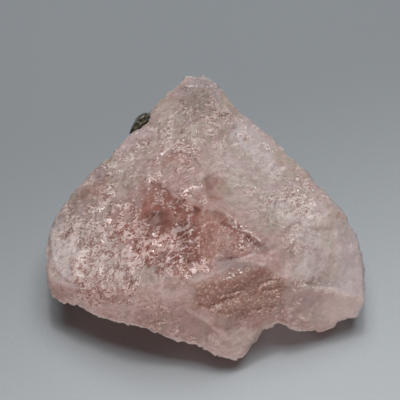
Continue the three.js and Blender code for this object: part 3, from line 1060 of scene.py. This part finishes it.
class StoneRecipe(Recipe):
    """The chunk's material: its layers and noises, its glints, and then its colour and faces."""

    def __init__(self, settings):
        super().__init__("Morganite")
        self.settings = settings
        self.layer = {name: self.attribute(name) for name in LAYERS}
        self.set_noises(self.places())
        self.set_glints()

    def set_noises(self, places):
        """Noises from broad clouds to fine threads, and glinting grains of two sizes."""
        self.cloud = self.noise(places, 4.5, detail=6.0, distortion=1.2)
        self.haze = self.noise(places, 3.0, detail=4.0, distortion=0.6)
        self.wisp = self.noise(self.along_run(places, 1.4), 1.5, detail=5.0, distortion=0.8)
        self.grit = self.noise(self.along_run(places, 1.2), 0.34, detail=5.0, distortion=0.6)
        self.thread = self.noise(self.along_run(places, 3.0), 0.24, detail=3.0, distortion=0.5)
        self.mottle = self.noise(self.along_run(places, 1.3), 1.1, detail=5.0, distortion=1.2)
        bend = self.noise(places, 0.6, detail=2.0, output="Color") - 0.5
        bent = self.along_run(places, 1.2) + bend * 0.4
        grain = self.settings.glint_grain / MM
        self.fine = self.cells(bent, grain, "Color")
        self.coarse = self.cells(bent, grain * COARSE_GRAIN, "Color")
        self.wall = self.cells(bent, grain * COARSE_GRAIN, "Distance", "DISTANCE_TO_EDGE")
        self.small = self.red(self.fine)
        self.large = self.red(self.coarse)

    def set_glints(self):
        """How sugary and how clear the stone is, and the flecks that glint on it."""
        layer, cloud, wisp, small = self.layer, self.cloud, self.wisp, self.small
        crest = layer["crest"] - 0.5
        self.sugar = self.ease(layer["frost"] + (cloud - 0.5) * 0.4, 0.0, 1.0)
        clear = layer["clear"] + (cloud - 0.5) * 0.7 + (wisp - 0.5) * 0.35
        self.depth = self.ease(clear, 0.1, 1.15)
        some = self.ease(self.sugar, 0.08, 0.3)
        dense = self.dense = self.ease(self.sugar, 0.45, 0.8)
        cluster = wisp + (dense - 0.5) * 0.14 + crest * 0.15 - self.depth * 0.04
        self.cluster = self.ease(cluster, 0.43, 0.5) * some
        scatter = small * 0.65 + self.large * 0.1
        plates = small * 0.45 + self.large * 0.3
        level = scatter + (plates - scatter) * dense + self.grit * 0.3 + crest * 0.2 - 0.525
        self.level = level + (wisp - 0.5) * dense * 0.9
        fleck = self.ease(self.level + dense * 0.05, 0.03, 0.07)
        dash = small * 0.5 + self.thread * 0.4 + layer["lip"] * 0.2 + wisp * 0.15
        self.dash = self.ease(dash, 0.71, 0.75)
        spark = self.ease(fleck * self.cluster + self.dash * layer["sheer"] * 1.2, 0.05, 0.95)
        self.spark = spark * self.ease(small, 0.0, 1.0, 0.75 + dense * 0.15, 1.0)

    def colour(self):
        """The colour, from the milky body to the flecks that lie on it, with painted glint, light and
        shade.
        """
        layer, settings = self.layer, self.settings
        frost, glint = rgba(settings.frost), rgba(settings.glint)
        buff = self.ease(self.haze, 0.4, 0.65) * (1 - layer["warm"])
        body = self.blend(buff, rgba(settings.milk), rgba(settings.buff))
        body = self.blend(self.depth, body, rgba(settings.clear))
        cool = self.ease(layer["grey"] + (self.cloud - 0.5) * 0.4, 0.1, 1.0)
        body = self.blend(cool * 0.8, body, rgba(settings.grey))
        # Pale takes in painted light on the rim, front and leaning-in walls.
        pale = layer["pale"] + (self.wisp - 0.5) * 0.9 + (self.cloud - 0.5) * 0.4
        body = self.blend(self.ease(pale, 0.0, 1.2), body, frost)
        body = self.pitted(self.mottled(body, cool))
        # Painted glint: the flecks are lightened towards the glint colour.
        body = self.blend(self.spark * 0.95, body, glint)
        body = self.blend(self.ease(layer["vein"], 0.3, 1.0) * 0.2, body, frost)
        body = self.blend(layer["warm"], body, body * WARM_TINT)
        body = self.blend(layer["olive"], body, body * OLIVE_TINT)
        # Shade darkens the colour; at the feet of ledges it is painted shade.
        body = body * self.ease(layer["shade"], 0.0, 1.0, 1.0, 0.55)
        # Painted glint in rows where the stone is sheer.
        body = self.blend(self.dash * layer["sheer"] * 0.5, body, glint)
        # Painted shade: faces that look down take the dark underside colour.
        return self.blend(layer["below"] * 0.9, body, rgba(settings.underside_shade))

    def mottled(self, body, cool):
        """Lays clear stains, fainter where the stone is cool or pale, and a mosaic of grains."""
        stain = self.ease(self.mottle + (self.wisp - 0.5) * 0.4, 0.51, 0.62)
        stain = stain * (0.34 + self.depth * 0.2 - cool * 0.3 - self.layer["pale"] * 0.2)
        body = self.blend(stain, body, rgba(self.settings.clear))
        body = body * self.ease(self.mottle + (self.grit - 0.5) * 0.5, 0.35, 0.65, 1.06, 0.94)
        mosaic = self.ease(cool, 0.0, 1.0, 0.12, 0.04) + self.layer["sheer"] * 0.1
        body = body * (1 + (self.small + self.large - 1) * mosaic)
        return body * (1 + (self.thread - 0.5) * self.depth * 0.8)

    def pitted(self, body):
        """Lays rosy pits between the flecks."""
        pit = self.ease(self.level, -0.04, -0.1) + self.ease(self.wall, 0.1, 0.04) * self.dense
        pit = self.ease(pit, 0.0, 1.0) * self.cluster * (self.dense * 0.7 + 0.3)
        pit = pit + self.ease(self.small, 0.25, 0.15) * self.layer["sheer"] * 0.45
        rosy = self.layer["warm"] * 0.3 + self.dense * 0.25 + 0.3
        hollow = self.blend(rosy, body * 0.68, rgba(self.settings.clear))
        return self.blend(pit * 0.95, body, hollow)

    def faces(self):
        """The way each grain faces, with grit on it: livelier where the flecks crowd."""
        crowd = self.cluster + self.layer["sheer"] * 0.5
        lively = self.ease(crowd, 0.0, 1.0, 0.3, self.settings.glint_tilt)
        lean = ((self.fine - 0.5) * 0.5 + (self.coarse - 0.5) * 0.5) * lively
        plain = self.add("ShaderNodeNewGeometry", output="Normal")
        leaning = self.add(
            "ShaderNodeVectorMath", {"operation": "NORMALIZE"}, {0: plain + lean}, output="Vector"
        )
        return self.bump((self.grit + self.thread * 0.4) * lively, GRIT_DEPTH, Normal=leaning)


def stone_material(settings):
    recipe = StoneRecipe(settings)
    faces = recipe.faces()
    gloss = recipe.spark + (recipe.cloud - 0.5) * 0.4
    cloudy = recipe.principled(
        Base_Color=recipe.colour(),
        Roughness=recipe.ease(gloss, 0.0, 1.0, 0.38, 0.2),
        IOR=BERYL_IOR,
        Specular_IOR_Level=0.3,
        Coat_Weight=recipe.spark * 0.6,
        Coat_Roughness=0.14,
        Coat_IOR=1.8,
        Subsurface_Weight=0.8,
        Subsurface_Radius=SCATTER_SHARES,
        Subsurface_Scale=SCATTER_DEPTH,
        Normal=faces,
    )
    glassy = recipe.principled(
        Base_Color=rgba(GLASS_TINT),
        Roughness=0.5,
        IOR=BERYL_IOR,
        Transmission_Weight=1.0,
        Normal=faces,
    )
    share = recipe.ease(recipe.depth - recipe.sugar * 0.5, 0.0, 1.0, 0.12, 0.35)
    surface = recipe.add("ShaderNodeMixShader", {}, {0: share, 1: cloudy, 2: glassy})
    volume = recipe.add(
        "ShaderNodeVolumeAbsorption", {}, {"Color": rgba(INNER_TINT), "Density": ABSORPTION}
    )
    return recipe.finish(surface, volume)


def mica_material(settings):
    recipe = Recipe("Mica")
    places = recipe.places()
    patch = recipe.noise(places, 0.7, detail=4.0)
    # Painted highlight: lighter on the crests of its leaves and chips.
    worn = recipe.ease(recipe.attribute("worn") * 0.6 + patch * 0.8, 0.62, 0.95)
    colour = recipe.blend(worn, rgba(settings.dark), rgba(settings.pale))
    grooves = recipe.bump(recipe.noise(places, 0.25, detail=3.0), GROOVE_DEPTH)
    surface = recipe.principled(
        Base_Color=colour,
        Roughness=recipe.ease(patch, 0.3, 0.8, 0.14, 0.4),
        IOR=MICA_IOR,
        Normal=grooves,
    )
    return recipe.finish(surface)


def floor_material(settings):
    recipe = Recipe("Floor")
    places = recipe.places()
    grain = recipe.noise(places, 0.5, detail=3.0)
    forward = recipe.add(
        "ShaderNodeVectorMath",
        {"operation": "DOT_PRODUCT"},
        {0: places, 1: PAINTED_LIGHT_ALONG},
        output="Value",
    )
    # Painted light, lighter towards the front.
    near = recipe.ease(forward + (grain - 0.5) * RAGGED, PAINTED_LIGHT_FROM, PAINTED_LIGHT_TO)
    colour = recipe.blend(near, rgba(settings.floor), rgba(settings.floor_lit))
    return recipe.finish(recipe.principled(Base_Color=colour, Roughness=0.6))


# --- Stage -----------------------------------------------------------------------------------

FLOOR_HALF = 1.2  # m
VIEW_DISTANCE = 0.2095  # m
LENS = 110  # mm
NEAREST_SEEN = 0.01  # m
VIEW_AIM = Vector((-0.9, 0.5, 0.4)) * MM  # from the middle of the stone's box
# Each light: its colour, its size in m, and its elevation, bearing and distance in m.
KEY = ((0.99, 1.0, 0.995), (0.4, 0.3), (math.radians(70), math.radians(80), 0.5))
LAMP = ((1.0, 0.93, 0.9), (0.05, 0.05), (math.radians(72), math.radians(95), 0.5))
CARD = ((1.0, 0.76, 0.7), (0.4, 0.036), (math.radians(3.5), math.radians(-92), 0.35))
SKY = (1.0, 0.82, 0.76)  # colour of the light from all round


def aim(thing, place, target):
    """Stands a light or the camera at a place, looking at the target."""
    thing.location = place
    thing.rotation_mode = "QUATERNION"
    thing.rotation_quaternion = (Vector(target) - Vector(place)).to_track_quat("-Z", "Y")


def build_floor(settings):
    mesh = bpy.data.meshes.new("floor")
    corners = [(-1, -1), (1, -1), (1, 1), (-1, 1)]
    mesh.from_pydata([(x * FLOOR_HALF, y * FLOOR_HALF, 0) for x, y in corners], [], [(0, 1, 2, 3)])
    mesh.materials.append(floor_material(settings))
    floor = bpy.data.objects.new("floor", mesh)
    bpy.context.scene.collection.objects.link(floor)


def build_light(name, power, colour, size, place, middle):
    """A soft rectangular light; place is its elevation, bearing and distance from the stone."""
    lamp = bpy.data.lights.new(name, "AREA")
    lamp.shape = "RECTANGLE"
    lamp.size, lamp.size_y = size
    lamp.energy = power
    lamp.color = colour
    light = bpy.data.objects.new(name, lamp)
    bpy.context.scene.collection.objects.link(light)
    elevation, bearing, distance = place
    flat = Vector((math.cos(bearing), math.sin(bearing), 0)) * math.cos(elevation)
    aim(light, middle + (flat + Vector((0, 0, math.sin(elevation)))) * distance, middle)


def build_world(settings):
    world = bpy.data.worlds.new("surroundings")
    world.use_nodes = True
    sky = world.node_tree.nodes["Background"]
    sky.inputs["Color"].default_value = rgba(SKY)
    sky.inputs["Strength"].default_value = settings.fill
    bpy.context.scene.world = world


def build_camera(middle):
    lens = bpy.data.cameras.new("camera")
    lens.lens = LENS
    lens.clip_start = NEAREST_SEEN
    camera = bpy.data.objects.new("camera", lens)
    bpy.context.scene.collection.objects.link(camera)
    target = middle + VIEW_AIM
    aim(camera, target + Vector(CHART_OUT) * VIEW_DISTANCE, target)
    bpy.context.scene.camera = camera


# --- Operators -------------------------------------------------------------------------------


class MORGANITE_OT_stone(bpy.types.Operator):
    """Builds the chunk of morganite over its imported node"""

    bl_idname = "morganite.stone"
    bl_label = "Morganite Chunk"

    def execute(self, context):
        stone = build_stone(context.scene.morganite)
        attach(stone, "root")
        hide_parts("morganite")
        return {"FINISHED"}


class MORGANITE_OT_mica(bpy.types.Operator):
    """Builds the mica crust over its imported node"""

    bl_idname = "morganite.mica"
    bl_label = "Mica Crust"

    def execute(self, context):
        mica = build_mica(context.scene.morganite_mica)
        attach(mica, "root")
        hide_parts("mica_crust")
        return {"FINISHED"}


class MORGANITE_OT_stage(bpy.types.Operator):
    """Sets the floor, the lights and the camera"""

    bl_idname = "morganite.stage"
    bl_label = "Floor, Lights and Camera"

    def execute(self, context):
        settings = context.scene.morganite_stage
        low, high = CAD_BOX
        middle = (low + high) / 2
        build_floor(settings)
        build_light("key", settings.key_power, *KEY, middle)
        build_light("lamp", settings.lamp_power, *LAMP, middle)
        build_light("card", settings.card_power, *CARD, middle)
        build_world(settings)
        build_camera(middle)
        context.scene.view_settings.view_transform = "Standard"
        return {"FINISHED"}


class MORGANITE_PT_panel(bpy.types.Panel):
    """Lists the pieces and their settings"""

    bl_idname = "MORGANITE_PT_panel"
    bl_label = "Morganite"
    bl_space_type = "VIEW_3D"
    bl_region_type = "UI"
    bl_category = "Morganite"

    def draw(self, context):
        rows = (
            (MORGANITE_OT_stone, context.scene.morganite),
            (MORGANITE_OT_mica, context.scene.morganite_mica),
            (MORGANITE_OT_stage, context.scene.morganite_stage),
        )
        for operator, settings in rows:
            box = self.layout.box()
            for name in settings.__annotations__:
                box.prop(settings, name)
            box.operator(operator.bl_idname)


CLASSES = (
    MorganiteSettings,
    MicaSettings,
    StageSettings,
    MORGANITE_OT_stone,
    MORGANITE_OT_mica,
    MORGANITE_OT_stage,
    MORGANITE_PT_panel,
)


def register():
    for cls in CLASSES:
        bpy.utils.register_class(cls)
    bpy.types.Scene.morganite = bpy.props.PointerProperty(type=MorganiteSettings)
    bpy.types.Scene.morganite_mica = bpy.props.PointerProperty(type=MicaSettings)
    bpy.types.Scene.morganite_stage = bpy.props.PointerProperty(type=StageSettings)


def unregister():
    del bpy.types.Scene.morganite_stage
    del bpy.types.Scene.morganite_mica
    del bpy.types.Scene.morganite
    for cls in reversed(CLASSES):
        bpy.utils.unregister_class(cls)


def main():
    register()
    bpy.ops.morganite.stone()
    bpy.ops.morganite.mica()
    bpy.ops.morganite.stage()


if __name__ == "__main__":
    main()
